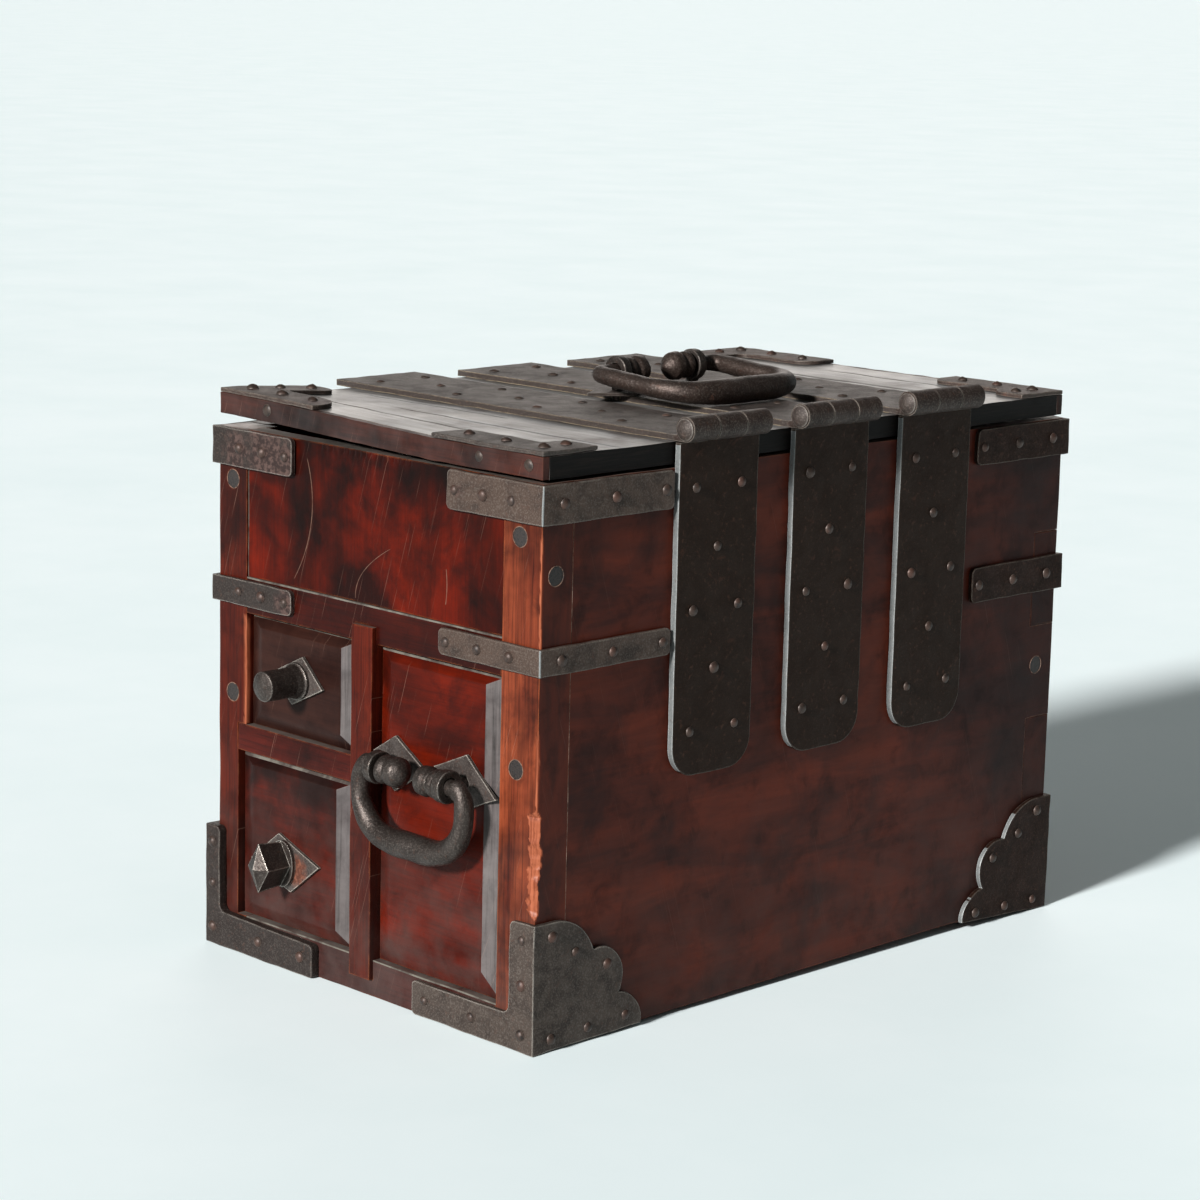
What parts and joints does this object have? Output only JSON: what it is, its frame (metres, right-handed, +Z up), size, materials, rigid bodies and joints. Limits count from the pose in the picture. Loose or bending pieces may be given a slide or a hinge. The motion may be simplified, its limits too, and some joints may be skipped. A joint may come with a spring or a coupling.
{
  "type": "ship chest with lid and drawers",
  "caption": "Small Japanese ship chest: hinged lid over an upper compartment, small drawers and a tall drawer below, iron bands, corner shoes, strap hinges and bail handles.",
  "frame": {"origin": "middle of the underside of the carcass", "axes": "+Z up; +Y from the drawer front to the back; +X from the left side to the side with the strap hinges"},
  "size_m": [0.333, 0.5267, 0.392],
  "materials": {
    "front_lacquer": "worn red-brown lacquer over zelkova",
    "side_lacquer": "dark brown lacquer, rubbed",
    "plain_wood": "planed paulownia, unfinished",
    "lid_wood": "weathered grey wood, cracked along the grain",
    "lid_edge_wood": "dark lacquer, worn",
    "plug_wood": "dark end grain",
    "band_iron": "forged iron, oiled and speckled with rust",
    "lid_iron": "forged iron, dusty and rusted",
    "handle_iron": "forged iron, hammered, worn bright where handled",
    "plate_iron": "forged iron with worn edges",
    "nail_iron": "forged nail heads with a little rust"
  },
  "bodies": {
    "root": {"side_board_right": "side_lacquer", "side_board_left": "side_lacquer", "back_board": "side_lacquer", "bottom_board": "plain_wood", "front_post_left": "front_lacquer", "front_post_right": "front_lacquer", "upper_front_panel": "front_lacquer", "upper_rail": "front_lacquer", "bottom_rail": "front_lacquer", "centre_stile": "front_lacquer", "middle_rail": "front_lacquer", "compartment_floor": "plain_wood", "drawer_partition": "plain_wood", "drawer_shelf": "plain_wood", "drawer_runners": "plain_wood", "wooden_plugs": "plug_wood", "corner_shoe_front_left": "band_iron", "corner_shoe_front_right": "band_iron", "corner_shoe_back_left": "band_iron", "corner_shoe_back_right": "band_iron", "upper_band_front_left": "band_iron", "upper_band_front_right": "band_iron", "upper_bands_back": "band_iron", "lower_band_front_left": "band_iron", "lower_band_front_right": "band_iron", "lower_bands_back": "band_iron", "carcass_nails": "nail_iron", "hanging_strap_1": "band_iron", "hanging_strap_2": "band_iron", "hanging_strap_3": "band_iron", "hinge_pins": "lid_iron"},
    "lid": {"lid_boards": "lid_wood", "lid_end_strips": "lid_edge_wood", "lid_strap_1": "lid_iron", "lid_strap_2": "lid_iron", "lid_strap_3": "lid_iron", "lid_plate_front_left": "lid_iron", "lid_plate_front_right": "lid_iron", "lid_plate_back_left": "lid_iron", "lid_plate_back_right": "lid_iron", "lid_nails": "nail_iron", "lid_bail_plates": "plate_iron", "lid_eyebolts": "handle_iron"},
    "lid_bail": {"lid_bail": "handle_iron"},
    "upper_drawer": {"upper_drawer_front": "front_lacquer", "upper_drawer_box": "plain_wood", "upper_drawer_bottom": "plain_wood", "upper_drawer_knob": "handle_iron", "upper_drawer_plate": "plate_iron"},
    "lower_drawer": {"lower_drawer_front": "front_lacquer", "lower_drawer_box": "plain_wood", "lower_drawer_bottom": "plain_wood", "lower_drawer_knob": "handle_iron", "lower_drawer_plate": "plate_iron"},
    "tall_drawer": {"tall_drawer_front": "front_lacquer", "tall_drawer_box": "plain_wood", "tall_drawer_bottom": "plain_wood", "tall_drawer_plates": "plate_iron", "tall_drawer_eyebolts": "handle_iron"},
    "tall_drawer_bail": {"tall_drawer_bail": "handle_iron"}
  },
  "joints": [
    {"name": "lid_hinge", "type": "hinge", "parent": "root", "child": "lid", "pos_m": [0.1595, 0, 0.3704], "axis": [0, 1, 0], "range_deg": [0, 255]},
    {"name": "lid_bail_swing", "type": "hinge", "parent": "lid", "child": "lid_bail", "pos_m": [-0.0034, 0.004, 0.3815], "axis": [0, -1, 0], "range_deg": [0, 187]},
    {"name": "upper_drawer_slide", "type": "slide", "parent": "root", "child": "upper_drawer", "axis": [0, -1, 0], "range_m": [0, 0.36]},
    {"name": "lower_drawer_slide", "type": "slide", "parent": "root", "child": "lower_drawer", "axis": [0, -1, 0], "range_m": [0, 0.36]},
    {"name": "tall_drawer_slide", "type": "slide", "parent": "root", "child": "tall_drawer", "axis": [0, -1, 0], "range_m": [0, 0.36]},
    {"name": "tall_drawer_bail_swing", "type": "hinge", "parent": "tall_drawer", "child": "tall_drawer_bail", "pos_m": [0.05745, -0.261, 0.1561], "axis": [-1, 0, 0], "range_deg": [-9.5, 189.5]}
  ]
}
